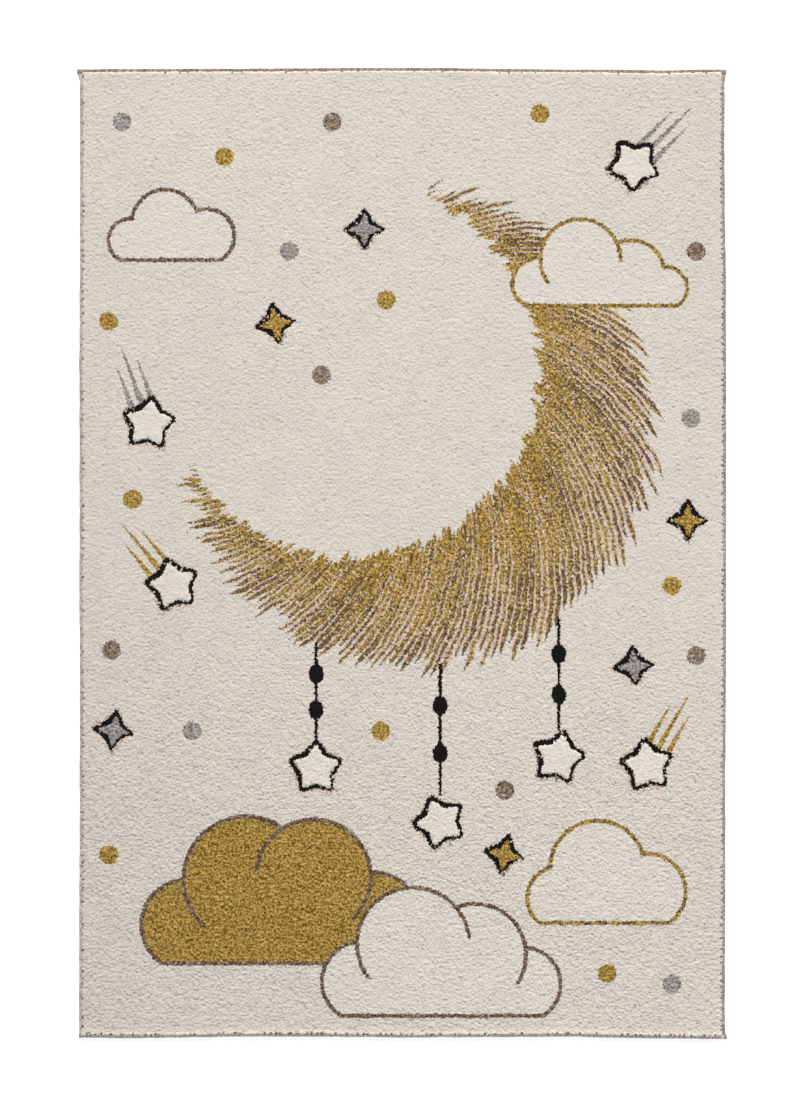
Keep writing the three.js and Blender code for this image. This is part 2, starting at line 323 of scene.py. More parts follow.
def node_places(node):
    """Every corner of a node's solid."""
    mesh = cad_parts[node].data
    co = np.empty(len(mesh.vertices) * 3)
    mesh.vertices.foreach_get("co", co)
    return co.reshape(-1, 3)


def side_line(node, along, across):
    """The outermost line of a serged edge in the solids: places along it and across it."""
    co = node_places(node)
    on = co[np.abs(co[:, 2] - OUTER_LINE_HEIGHT) < LEVEL]
    order = np.argsort(on[:, along])
    return on[order, along], on[order, across]


def design_origin():
    """The design's own origin in the frame, from the raised stars' tops, the highest places."""
    co = node_places("rug_body")
    tops = co[co[:, 2] > BODY_HIGH.z - LEVEL]
    stars = [(p["x"] * MM, p["y"] * MM) for p in MOTIF_PLACES if p["kind"] == "star"]
    return tops[:, :2].mean(0) - np.mean(stars, axis=0)


RUG_LOW, RUG_HIGH = cad_box
BODY_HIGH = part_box("rug_body")[1]
PILE_TOP = BODY_HIGH.z - STAR_RISE
ORIGIN = design_origin()
LINES = {
    "top": side_line("binding_top", 0, 1),
    "bottom": side_line("binding_bottom", 0, 1),
    "left": side_line("binding_left", 1, 0),
    "right": side_line("binding_right", 1, 0),
}


def edge(side, along):
    """Where a side of the rug lies at places along it, without the wider yarn at its corners."""
    if side in ("left", "right"):
        along = np.clip(along, -STRAIGHT_SIDE, STRAIGHT_SIDE)
    return np.interp(along, *LINES[side])


def in_outline(u, v, insets):
    """Places at shares u and v, from 0 to 1, of the outline drawn in by each side's inset."""
    x0 = RUG_LOW.x + u * (RUG_HIGH.x - RUG_LOW.x)
    y0 = RUG_LOW.y + v * (RUG_HIGH.y - RUG_LOW.y)
    left = edge("left", y0) + insets["left"]
    right = edge("right", y0) - insets["right"]
    bottom = edge("bottom", x0) + insets["bottom"]
    top = edge("top", x0) - insets["top"]
    return left + u * (right - left), bottom + v * (top - bottom)


def motif_radius(motif, angle, margin):
    """A pointed motif's outline, as a radius at each angle."""
    half = math.pi / motif["points"]
    far = motif["tip"] + margin
    near = motif["waist"] + margin
    from_tip = np.abs((angle + half) % (2 * half) - half)
    side = far * near * math.sin(half) / (near * np.sin(half - from_tip) + far * np.sin(from_tip))
    return np.minimum(side, TIP_BLUNTNESS * far)


def cloud_depth(x, y, cloud):
    """How far a place lies outside a cloud, or inside it where it is below 0."""
    base = cloud["base"] * MM
    depth = np.full(x.shape, 1.0)
    for puff_x, puff_y, radius in cloud["puffs"]:
        round_part = np.hypot(x - puff_x * MM, y - puff_y * MM) - radius * MM
        depth = np.minimum(depth, round_part)
    first, last = cloud["puffs"][0], cloud["puffs"][-1]
    top = min(y + SLAB_RISE * radius for _, y, radius in (first, last)) * MM
    slab = np.maximum.reduce([first[0] * MM - x, x - last[0] * MM, y - top])
    return np.maximum(np.minimum(depth, slab), base - y)


# Where a tuft's four faces and its middle lie, in thirds of a pitch
TUFT_PARTS = np.array([(0, -1), (1, 0), (0, 1), (-1, 0), (0, 0)])


class Design:
    """The yarn of each tuft's faces and middle, and how far they stand above or below the pile."""

    def __init__(self, x, y):
        wobble = randoms("wobble").random((2, *x.shape, len(TUFT_PARTS))) - 0.5
        self.x = x[..., None] + TUFT_PARTS[:, 0] * TUFT_PITCH / 3 + WOBBLE * wobble[0]
        self.y = y[..., None] + TUFT_PARTS[:, 1] * TUFT_PITCH / 3 + WOBBLE * wobble[1]
        self.ragged = randoms("ragged").random((*x.shape, 1))
        self.stray = (self.ragged * STRAY_SCRAMBLE) % 1 < STRAY_SHARE
        drift = smoothed(randoms("drift").standard_normal(x.shape), DRIFT_PASSES)
        self.drift = DRIFT * normalised(drift)[..., None]
        self.yarn = np.full(self.x.shape, INDEX["field"])
        self.lift = np.zeros(self.x.shape)

    def away(self, x, y):
        """How far each place lies from one given in millimetres."""
        return np.hypot(self.x - x * MM, self.y - y * MM)

    def yarns(self, name):
        """One yarn, or a blend's, tuft by tuft."""
        if name in INDEX:
            return INDEX[name]
        chance = np.clip(self.ragged + self.drift, 0, 1)
        limits = np.cumsum(list(BLENDS[name].values()))
        return np.array([INDEX[y] for y in BLENDS[name]])[np.searchsorted(limits[:-1], chance)]

    def paint(self, on, yarn, lift=None):
        """Gives the places that are on a yarn or a blend by name, or yarns by number, and a height."""
        yarns = self.yarns(yarn) if isinstance(yarn, str) else yarn
        self.yarn = np.where(on, yarns, self.yarn)
        if lift is not None:
            self.lift = np.where(on, lift, self.lift)


def ragged_end(end, chance, off_middle):
    """How far inside the moon a stroke has to be before it shows at one of its ends."""
    return end["depth"] * (chance - end["outside"] + end["lead"] * off_middle)


def paint_moon(d):
    """Strokes that narrow and darken outwards, with paler yarn between them, and ragged ends."""
    source = randoms("strokes")
    chances = source.random((4, STROKE_COUNT))
    segments = source.random((STROKE_COUNT, SEGMENT_COUNT))
    x, y = d.x - MOON_HOLLOW["x"], d.y - MOON_HOLLOW["y"]
    from_hollow = np.hypot(x, y) - MOON_HOLLOW["r"]
    from_rim = MOON["r"] - np.hypot(d.x - MOON["x"], d.y - MOON["y"])
    around = np.arctan2(y, x) * MOON_HOLLOW["r"] + from_hollow * STROKE_SLANT
    place = around / STROKE_PITCH + STROKE_START + d.drift
    stroke = np.floor(place).astype(int) % STROKE_COUNT
    across = place - np.floor(place) - 0.5
    off_middle = np.abs(across)
    outwards = np.clip(from_hollow / np.maximum(from_hollow + from_rim, 1 * MM), 0, 1)
    rim_end, hollow_end, wide, shift = chances[:, stroke]

    inside = from_rim > ragged_end(RIM_END, rim_end, off_middle)
    inside &= from_hollow > ragged_end(HOLLOW_END, hollow_end, off_middle)
    inside &= from_hollow + from_rim > THIN_HORN
    width = STROKE_WIDTH["first"] - STROKE_WIDTH["narrowing"] * outwards
    width = width + STROKE_WIDTH["uneven"] * (wide - 0.5)
    coloured = off_middle + STROKE_FRAY * (d.ragged - 0.5) < width

    along = (from_hollow / SEGMENT + SEGMENT_SHIFT * shift).astype(int) % SEGMENT_COUNT
    pick = PICK["segment"] * segments[stroke, along] + PICK["tuft"] * d.ragged
    pick = pick + PICK["outwards"] * (outwards - 0.5)
    shaded = across > SHADED_SIDE["from"]
    pick = pick + np.where(shaded, SHADED_SIDE["darker"], SHADED_SIDE["else"])
    names = [INDEX[name] for name in STROKE_YARNS]
    limits = [pick < limit for limit in STROKE_YARNS.values()]
    fill = np.select(limits, names, INDEX[DARKEST_YARN])
    d.paint(inside, np.where(coloured != d.stray, fill, INDEX["blush"]))


def paint_threads(d):
    """Hanging threads with two beads each, a little lower than the pile beside them."""
    for thread in THREADS:
        on = (d.y < thread["top"] * MM) & (d.y > thread["low"] * MM)
        on = on & (np.abs(d.x - thread["x"] * MM) < THREAD_WIDTH / 2)
        for share in BEAD_PLACES:
            bead_y = (thread["top"] + share * (thread["low"] - thread["top"])) * MM
            across = (d.x - thread["x"] * MM) / BEAD_HALF[0]
            on = on | (across ** 2 + ((d.y - bead_y) / BEAD_HALF[1]) ** 2 < 1)
        d.paint(on, "black", -LINE_CARVED)


def paint_clouds(d):
    """Clouds with a line round them, and the curls of their puffs."""
    for cloud in CLOUDS:
        depth = cloud_depth(d.x, d.y, cloud)
        d.paint(depth < 0, cloud["line"])
        d.paint(depth < -CLOUD_LINE, cloud["fill"])
        for front, behind, lowest in cloud["curls"]:
            x, y, radius = cloud["puffs"][front]
            on_line = np.abs(d.away(x, y) - radius * MM + CLOUD_LINE / 2) < CLOUD_LINE / 2
            x, y, radius = cloud["puffs"][behind]
            on = on_line & (d.away(x, y) < radius * MM) & (d.y > lowest * MM)
            d.paint(on & (depth < 0), cloud["line"])


def paint_tails(d):
    """Strokes that start under a star and taper away from it."""
    for tail in TAILS:
        turn = math.radians(tail["turn"])
        star = MOTIF_PLACES[tail["star"]]
        x, y = d.x - star["x"] * MM, d.y - star["y"] * MM
        back = x * math.cos(turn) + y * math.sin(turn)
        across = y * math.cos(turn) - x * math.sin(turn)
        for stroke in TAIL_STROKES:
            taper = TAIL_TAPER - back / (stroke["reach"] * MM)
            on = np.abs(across - stroke["across"] * MM) < TAIL_HALF_WIDTH * taper
            d.paint(on & (back > 0) & (back < stroke["reach"] * MM), tail["yarn"])


def paint_motifs(d):
    """Motifs in a carved black outline, heavier at its upper left, with a painted shadow at its lower
    left.
    """
    for place in MOTIF_PLACES:
        motif = MOTIFS[place["kind"]]
        x, y = d.x - place["x"] * MM, d.y - place["y"] * MM
        angle = np.arctan2(y, x) - math.radians(place["turn"])
        radius = np.hypot(x, y)
        upper_left = (y - x) / np.maximum(radius, 1 * MM)
        outline = OUTLINE + OUTLINE_LEAN * upper_left + OUTLINE_FRAY * (d.ragged - 0.5)
        fade = (motif_radius(motif, angle, OUTLINE + PAINTED_SHADOW_REACH) - radius) / PAINTED_SHADOW_REACH
        # painted shadow at the outline's lower left, thinning outwards
        d.paint((x + y < 0) & (d.ragged < PAINTED_SHADOW_SHARE * fade), "halo")
        black = radius < motif_radius(motif, angle, outline)
        d.paint(black, np.where(d.stray, d.yarn, INDEX["black"]), -CARVED)
        d.paint(radius < motif_radius(motif, angle, 0), place["yarn"], motif["rise"])


def paint_edges(d):
    """Tufts at the pile's edges: a rim with a painted highlight that the serging pushes up, with
    stitches in it whose dark is partly painted shadow.
    """
    sides = {"left": np.s_[:, 0], "right": np.s_[:, -1], "bottom": np.s_[0], "top": np.s_[-1]}
    source = randoms("stitches")
    # painted highlight on the outermost rows
    for row in LIT_RIM_ROWS:
        d.yarn[row] = np.where(d.yarn[row] == INDEX["field"], INDEX["rim"], d.yarn[row])
    for row, push in enumerate(RIM_PUSH):
        d.lift[row] += push
    for side, where in sides.items():
        style = STITCHES[side]
        count = len(d.yarn[where])
        steps = STITCH_SPACING["least"] + STITCH_SPACING["range"] * source.random(count)
        places = np.cumsum(style["every"] * steps)
        places = places[(places < count) & (source.random(count) < style["share"])].astype(int)
        # stitch yarn, partly painted shadow of the gaps at the pile's edge
        d.yarn[where][places] = INDEX["stitch"]
        d.lift[where][places] = -style["depth"]


def drawn(x, y):
    """The whole design, at tufts that lie at x and y from the design's origin."""
    d = Design(x, y)
    paint_moon(d)
    paint_threads(d)
    paint_clouds(d)
    for dot in DOTS:
        d.paint(d.away(dot["x"], dot["y"]) < DOT_RADIUS, dot["yarn"])
    paint_tails(d)
    paint_motifs(d)
    paint_edges(d)
    return d.yarn, d.lift


def smoothed(field, passes):
    """A grid of numbers blurred over its neighbours."""
    for _ in range(passes):
        padded = np.pad(field, 1, mode="edge")
        field = (
            4 * field + padded[:-2, 1:-1] + padded[2:, 1:-1] + padded[1:-1, :-2] + padded[1:-1, 2:]
        ) / 8
    return field


def normalised(field):
    """The same numbers, moved and scaled to a mean of 0 and a spread of 1."""
    return (field - field.mean()) / field.std()


def crimped(rows, columns):
    """Heights of crimped yarn at the tufts' middles and corners."""
    mid = rng.standard_normal((rows, columns))
    corner = at_corners(mid)
    own = rng.standard_normal(corner.shape)
    return mid, CORNER_CRIMP["shared"] * corner + CORNER_CRIMP["own"] * own


def new_mesh(name, places, faces):
    """A mesh object from an array of places and lists of faces that share a number of corners."""
    mesh = bpy.data.meshes.new(name)
    corners = np.concatenate([f.ravel() for f in faces]).astype(np.int32)
    sizes = np.concatenate([np.full(len(f), f.shape[1]) for f in faces])
    starts = np.concatenate([[0], np.cumsum(sizes)[:-1]]).astype(np.int32)
    mesh.vertices.add(len(places))
    mesh.vertices.foreach_set("co", np.asarray(places, np.float32).ravel())
    mesh.loops.add(len(corners))
    mesh.loops.foreach_set("vertex_index", corners)
    mesh.polygons.add(len(sizes))
    mesh.polygons.foreach_set("loop_start", starts)
    mesh.update(calc_edges=True)
    mesh.validate()
    piece = bpy.data.objects.new(name, mesh)
    bpy.context.scene.collection.objects.link(piece)
    return piece


def set_colours(piece, name, domain, colours):
    """A colour for each face or point, as scene-linear red, green and blue."""
    layer = piece.data.attributes.new(name, "FLOAT_COLOR", domain)
    values = np.ones((len(colours), 4), np.float32)
    values[:, :3] = colours
    layer.data.foreach_set("color", values.ravel())


def set_values(piece, name, domain, values):
    """A number for each face or point."""
    layer = piece.data.attributes.new(name, "FLOAT", domain)
    layer.data.foreach_set("value", np.asarray(values, np.float32))


def set_map(piece, corner_places):
    """The map that the piece's colours are drawn on, one place for each face corner."""
    layer = piece.data.uv_layers.new(name="OFBake")
    layer.uv.foreach_set("vector", np.asarray(corner_places, np.float32).ravel())


def corner_vertices(piece):
    """Which vertex each face corner of a piece is at."""
    found = np.empty(len(piece.data.loops), np.int32)
    piece.data.loops.foreach_get("vertex_index", found)
    return found


def finished(piece, material, slot, *nodes):
    """Gives a piece its material, and lets it ride on the rug; the slot it is given is not used."""
    piece.data.materials.append(material)
    piece.data.shade_smooth()
    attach(piece, "root")
    if nodes:
        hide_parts(*nodes)
    return piece


def shader_material(name, settings):
    """A material whose own shader has these settings, by the names of their sockets."""
    material = bpy.data.materials.new(name)
    material.use_nodes = True
    shader = material.node_tree.nodes["Principled BSDF"]
    for socket, value in settings.items():
        shader.inputs[socket].default_value = value
    return material


class Nodes:
    """A short way to write a yarn material's nodes."""

    def __init__(self, name, roughness, sheen, tint):
        self.material = shader_material(name, {
            "Roughness": roughness, "Specular IOR Level": 0.25,
            "Sheen Weight": sheen, "Sheen Roughness": 0.55, "Sheen Tint": (*tint, 1),
        })
        self.tree = self.material.node_tree
        self.shader = self.tree.nodes["Principled BSDF"]

    def add(self, kind, inputs=(), **settings):
        """A node with its settings, and each of its inputs linked or set."""
        node = self.tree.nodes.new(kind)
        for key, value in settings.items():
            setattr(node, key, value)
        for key, value in dict(inputs).items():
            if isinstance(value, bpy.types.NodeSocket):
                self.tree.links.new(value, node.inputs[key])
            else:
                node.inputs[key].default_value = value
        return node

    def attribute(self, name, output="Color"):
        """A colour or a number that the piece's faces or points carry."""
        return self.add("ShaderNodeAttribute", attribute_name=name).outputs[output]

    def where(self, scale=(1, 1, 1)):
        """Places on the piece, stretched by a scale for each axis."""
        inputs = {0: self.add("ShaderNodeTexCoord").outputs["Object"], 1: scale}
        return self.add("ShaderNodeVectorMath", inputs, operation="MULTIPLY").outputs[0]

    def noise(self, place, scale, detail, roughness):
        inputs = {"Vector": place, "Scale": scale, "Detail": detail, "Roughness": roughness}
        return self.add("ShaderNodeTexNoise", inputs).outputs["Fac"]

    def spread(self, value, low, high, to_low, to_high):
        """A value between two limits, moved to between two others."""
        inputs = {"Value": value, 1: low, 2: high, 3: to_low, 4: to_high}
        return self.add("ShaderNodeMapRange", inputs).outputs[0]

    def plus(self, a, b):
        return self.add("ShaderNodeMath", {0: a, 1: b}, operation="ADD").outputs[0]

    def times(self, a, b):
        return self.add("ShaderNodeMath", {0: a, 1: b}, operation="MULTIPLY").outputs[0]

    def shaded(self, colour, value):
        """A colour made lighter or darker by a value."""
        inputs = {0: colour, "Scale": value}
        return self.add("ShaderNodeVectorMath", inputs, operation="SCALE").outputs[0]

    def bump(self, height, strength, distance):
        inputs = {"Height": height, "Strength": strength, "Distance": distance}
        node = self.add("ShaderNodeBump", inputs)
        self.tree.links.new(node.outputs["Normal"], self.shader.inputs["Normal"])

    def colour(self, value):
        self.tree.links.new(value, self.shader.inputs["Base Color"])


def pile_material():
    """Frisé yarn: painted highlight at its tips and on its grains, painted shade in its hollows, in
    short crimped grains, with fibres.
    """
    n = Nodes("pile", roughness=0.92, sheen=0.05, tint=(1.0, 0.97, 0.93))
    light, dark = n.attribute("light"), n.attribute("dark")
    relief, tip = n.attribute("relief", "Fac"), n.attribute("tip", "Fac")
    grain = n.noise(n.where((1, 0.85, 1)), scale=250, detail=0.6, roughness=0.4)
    fibre = n.noise(n.where(), scale=2200, detail=2.0, roughness=0.6)
    # Painted light: the higher a place on the tuft or its grain, the nearer it is to the lighter tone
    lit_share = n.plus(tip, n.spread(grain, 0.36, 0.64, -0.35, 0.35))
    yarn = n.add("ShaderNodeMix", {0: lit_share, 6: dark, 7: light}, data_type="RGBA").outputs[2]
    n.colour(n.shaded(yarn, n.spread(fibre, 0.3, 0.7, 0.96, 1.04)))
    n.bump(n.times(grain, relief), strength=1.0, distance=2.2 * MM)
    return n.material


def serging_material():
    """Serging yarn: the colours of its turns, lighter and darker with fine fibres."""
    n = Nodes("serging", roughness=0.85, sheen=0.25, tint=(1.0, 0.96, 0.9))
    fibre = n.noise(n.where(), scale=1500, detail=2.0, roughness=0.6)
    n.colour(n.shaded(n.attribute("yarn"), n.spread(fibre, 0.3, 0.7, 0.84, 1.14)))
    n.bump(fibre, strength=0.5, distance=0.3 * MM)
    return n.material


def ground_material():
    """Woven ground: weft rows over and under, in jute colour."""
    n = Nodes("ground_weave", roughness=0.9, sheen=0.1, tint=(1.0, 0.95, 0.85))
    place = n.where()
    waves = {"Vector": place, "Scale": 80.0, "Distortion": 0.6, "Detail": 1.0}
    rows = n.add("ShaderNodeTexWave", waves, bands_direction="Y").outputs["Fac"]
    fibre = n.noise(place, scale=900, detail=3.0, roughness=0.6)
    shade = n.times(n.spread(rows, 0, 1, 0.82, 1.06), n.spread(fibre, 0.3, 0.7, 0.86, 1.12))
    n.colour(n.shaded(n.attribute("yarn"), shade))
    n.bump(n.times(rows, fibre), strength=0.7, distance=0.8 * MM)
    return n.material


def pile_strips(material):
    """The pile, one low pyramid of four faces for each tuft, in strips along the rug."""
    columns = STRIPS * round((RUG_HIGH.x - RUG_LOW.x) / TUFT_PITCH / STRIPS)
    rows = round((RUG_HIGH.y - RUG_LOW.y) / TUFT_PITCH)

    v, u = grid_shares((np.arange(rows) + 0.5) / rows, (np.arange(columns) + 0.5) / columns)
    x, y = in_outline(u, v, PILE_INSETS)
    yarn, lift = drawn(x - ORIGIN[0], y - ORIGIN[1])
    relief = yarn_values("relief")[yarn[..., -1]]
    relief = relief * np.interp(v, COARSENESS["at"], COARSENESS["is"])
    lift = lift[..., -1]
    crimp, corner_crimp = crimped(rows, columns)
    mids = jittered(x, y, PILE_TOP + lift + crimp_height(relief, crimp), CENTRE_JITTER)
    mid_tips = PAINTED_LIGHT_SHARES["middle"] + PAINTED_LIGHT_SHARES["uneven"] * crimp

    v, u = grid_shares(np.arange(rows + 1) / rows, np.arange(columns + 1) / columns)
    x, y = in_outline(u, v, PILE_INSETS)
    lift, deep = at_corners(lift), at_corners(relief)
    z = PILE_TOP + lift - VALLEY * deep + crimp_height(deep, corner_crimp)
    from_edge = np.minimum.reduce([u * columns, (1 - u) * columns, (1 - v) * rows])
    corners = jittered(x, y, z - np.where(from_edge < 0.5, RIM_DROP, 0), CORNER_JITTER)
    corner_tips = PAINTED_LIGHT_SHARES["corner"] + PAINTED_LIGHT_SHARES["uneven"] * corner_crimp

    looks = face_looks(yarn[..., :-1], relief)
    per_strip = columns // STRIPS
    strips = []
    for strip in range(STRIPS):
        of_mids = slice(strip * per_strip, (strip + 1) * per_strip)
        of_corners = slice(strip * per_strip, (strip + 1) * per_strip + 1)
        strips.append(pile_strip(
            f"pile_{strip + 1}", material,
            (mids[:, of_mids], mid_tips[:, of_mids]),
            (corners[:, of_corners], corner_tips[:, of_corners]),
            {name: look[:, of_mids] for name, look in looks.items()},
            (strip == 0, strip == STRIPS - 1)))
    return strips


def grid_shares(rows, columns):
    """Two grids of one shape, the rows' values in one and the columns' values in the other."""
    return np.meshgrid(rows, columns, indexing="ij")


def yarn_values(what):
    """One of the yarns' values, in the order of their numbers."""
    return np.array([look[what] for look in YARNS.values()])


def crimp_height(relief, crimp):
    """How far the crimp lifts or lowers a place, deeper where its yarn is coarser."""
    return CRIMP * relief * np.clip(crimp, -CRIMP_LIMIT, CRIMP_LIMIT)


def jittered(x, y, z, share):
    """Places moved at random in plan, by up to a share of a tuft, first along x and then along y."""
    moves = [
        share * TUFT_PITCH * np.clip(rng.standard_normal(x.shape), -JITTER_LIMIT, JITTER_LIMIT)
        for _ in range(2)
    ]
    return np.stack([x + moves[0], y + moves[1], z], -1)


def at_corners(field):
    """A grid of the tufts' numbers, averaged at the corners between them."""
    p = np.pad(field, 1, mode="edge")
    return (p[:-1, :-1] + p[:-1, 1:] + p[1:, :-1] + p[1:, 1:]) / 4


def face_looks(yarn, relief):
    """Light and dark colour of each tuft's four faces, which are painted highlight and painted shade
    under the tone's painted light, and their relief, some with the yarn beside them.
    """
    across = np.pad(yarn[:, :, [3, 1]], ((0, 0), (1, 1), (0, 0)), mode="edge")
    along = np.pad(yarn[:, :, [2, 0]], ((1, 1), (0, 0), (0, 0)), mode="edge")
    beside = np.stack([along[:-2, :, 0], across[:, 2:, 0], along[2:, :, 1], across[:, :-2, 1]], -1)
    yarn = np.where(rng.random(beside.shape) < FRAYED, beside, yarn)
    rows, columns = relief.shape
    painted_nap_shade = normalised(smoothed(rng.standard_normal((rows, columns)), NAP_PASSES))[..., None]
    uneven = MOTTLE["tuft"] * rng.standard_normal((rows, columns, 1))
    uneven = uneven + MOTTLE["face"] * rng.standard_normal(yarn.shape)
    up = np.linspace(-1, 1, rows)[:, None, None]
    right = np.linspace(-1, 1, columns)[:, None]
    # The tone over the rug: lighter towards the top as painted light, lighter towards the lower right,
    # darker towards both long sides, and painted nap shade in soft patches
    slow = TONE_AND_PAINTED_LIGHT["mean"] + TONE_AND_PAINTED_LIGHT["up"] * up + TONE_AND_PAINTED_LIGHT["low_right"] * right * (1 - up)
    slow = slow - TONE_AND_PAINTED_LIGHT["sides"] * right ** 2 + TONE_AND_PAINTED_LIGHT["painted_nap_shade"] * painted_nap_shade
    tone = (slow + yarn_values("mottle")[yarn] * uneven)[..., None]
    return {
        "light": linear(yarn_values("light"))[yarn] * tone,
        "dark": linear(yarn_values("dark"))[yarn] * tone,
        "relief": np.repeat(relief[..., None], 4, -1),
    }


def tuft_faces(rows, columns):
    """Four faces for each tuft, round its middle. The corners' grid comes first, then the middles."""
    row, column = grid_shares(np.arange(rows), np.arange(columns))
    a = (row * (columns + 1) + column).ravel()
    b, c, d = a + 1, a + columns + 2, a + columns + 1
    m = (columns + 1) * (rows + 1) + np.arange(rows * columns)
    return np.stack([a, b, m, b, c, m, c, d, m, d, a, m], 1).reshape(-1, 3)


def wall_runs(rows, columns, ends):
    """The strip's outer sides: their corners, their tufts' outer faces, and which way is out."""
    grid = np.arange((rows + 1) * (columns + 1)).reshape(rows + 1, columns + 1)
    runs = [(grid[0], np.s_[0, :, 0], (0, -1)), (grid[-1, ::-1], np.s_[-1, ::-1, 2], (0, 1))]
    if ends[0]:
        runs.append((grid[::-1, 0], np.s_[::-1, 0, 3], (-1, 0)))
    if ends[1]:
        runs.append((grid[:, -1], np.s_[:, -1, 1], (1, 0)))
    return runs


def wall_places(top, level, outward):
    """Places of one level of a side wall, below the places of its top."""
    wall = top.copy()
    out = WALL_JITTER["out"] * rng.standard_normal(len(top)) - level["in"]
    wall[:, :2] += np.outer(out, outward)
    wall[:, 2] = level["z"] + WALL_JITTER["up"] * rng.standard_normal(len(top))
    return wall


def pile_strip(name, material, mids, corners, looks, ends):
    """One strip of tufts, with walls down to the ground where it is at the rug's edge."""
    rows, columns = mids[1].shape
    corner_places = corners[0].reshape(-1, 3)
    places = [corner_places, mids[0].reshape(-1, 3)]
    tips = [corners[1].ravel(), mids[1].ravel()]
    count = len(places[0]) + len(places[1])
    walls = []
    wall_looks = []
    for run, of_looks, outward in wall_runs(rows, columns, ends):
        above = run
        for level in PILE_WALL:
            places.append(wall_places(corner_places[run], level, outward))
            tips.append(np.full(len(run), level["tip"]))
            below = count + np.arange(len(run))
            count += len(run)
            walls.append(np.stack([above[:-1], below[:-1], below[1:], above[1:]], 1))
            wall_looks.append(of_looks)
            above = below

    places = np.concatenate(places)
    piece = new_mesh(name, places, [tuft_faces(rows, columns), np.concatenate(walls)])
    for look in ("light", "dark"):
        rest = [looks[look][w] for w in wall_looks]
        set_colours(piece, look, "FACE", np.concatenate([looks[look].reshape(-1, 3), *rest]))
    rest = [looks["relief"][w] for w in wall_looks]
    set_values(piece, "relief", "FACE", np.concatenate([looks["relief"].ravel(), *rest]))
    # tip: the painted light share, lit at the tufts' middles, shaded at their corners and down the walls
    set_values(piece, "tip", "POINT", np.concatenate(tips))
    set_map(piece, planar_map(places)[corner_vertices(piece)])
    return finished(piece, material, "pile")


# Maps: the pile's is drawn from above inside a margin, with its walls spread out into the margin, and
# the wound yarn's is folded into rows, with its two ends in one small spot
MAP_MARGIN = 0.02
WALL_SPREAD = 0.018
WALL_TOP = 2.6 * MM
WALL_BAND = 0.485
MAP_ROWS = 8
MAP_GAP = 0.05
MAP_FILL = 0.9
MAP_SPOT = 0.001


def planar_map(places):
    """A map drawn from above. The lower a place on a side wall lies, the further out it goes."""
    low = places[:, :2].min(0)
    high = places[:, :2].max(0)
    share = (places[:, :2] - low) / (high - low)
    deep = np.clip((PILE_TOP - WALL_TOP - places[:, 2]) / PILE_TOP, 0, 1)
    flat = MAP_MARGIN + share * (1 - 2 * MAP_MARGIN)
    outward = np.sign(share - 0.5) * (np.abs(share - 0.5) > WALL_BAND)
    return flat + outward * deep[:, None] * WALL_SPREAD


# Each side's serging: sRGB of its lighter and darker turns, and of its loops, every so far apart. The
# sides differ partly by painted light and shade: the bottom's colours are painted lighter against the
# pile's shadow on it, and the right's darker than the left's.
SERGED = {
    "top": {
        "light": (184, 168, 153), "dark": (128, 109, 93), "loop": (108, 88, 72), "apart": 14 * MM,
    },
    "bottom": {
        "light": (248, 242, 236), "dark": (212, 204, 198), "loop": (166, 158, 152), "apart": 11 * MM,
    },
    "left": {
        "light": (214, 204, 195), "dark": (168, 158, 148), "loop": (140, 128, 117), "apart": 17 * MM,
    },
    "right": {
        "light": (200, 190, 175), "dark": (148, 137, 123), "loop": (118, 105, 91), "apart": 7.8 * MM,
    },
}

# How light a turn is between the two tones: its mean, its own part, and a slow one along the edge.
# Then how light the yarn still is in the painted shade between two turns, and how a loop lies: how
# unevenly apart, how far it reaches along the edge, and where it is on the section.
TURN_TONE = {"mean": 0.5, "own": 0.22, "slow": 0.15, "passes": 60}
BETWEEN_TURNS = 0.4
LOOP = {"uneven": 0.5, "reach": 1.4 * MM, "at": 0.2, "half": 0.5}

# The ends of the top and bottom yarn: how thick they are from the tip inwards, and their colours
YARN_END = {"back": [0, 0.9 * MM, 2.2 * MM, 4.6 * MM], "swell": [0.6, 0.88, 1.05, 1.0]}
LOOSE_ENDS = {
    "top": [(150, 149, 152), (158, 153, 144)],
    "bottom": [(122, 115, 108), (84, 78, 72)],
}
LOOSE_REACH = 7 * MM
LOOSE_SHARE = {"most": 0.8, "start": 1.4}


def boxy(wave):
    """A sine or cosine that keeps longer to its high and low ends."""
    return np.sign(wave) * np.abs(wave) ** BOXINESS


def wound_faces(steps, reverse):
    """Faces of a tube of rings, and of its two ends, all turned to look outwards."""
    ring = np.arange(SECTION_POINTS)
    step = np.arange(steps)[:, None] * SECTION_POINTS
    nxt = (ring + 1) % SECTION_POINTS
    around = [step + ring, step + nxt, step + SECTION_POINTS + nxt, step + SECTION_POINTS + ring]
    quads = np.stack([a.ravel() for a in around], 1)
    caps = np.stack([ring[::-1], ring + steps * SECTION_POINTS])
    if reverse:
        quads, caps = quads[:, ::-1], caps[:, ::-1]
    return [quads, caps]


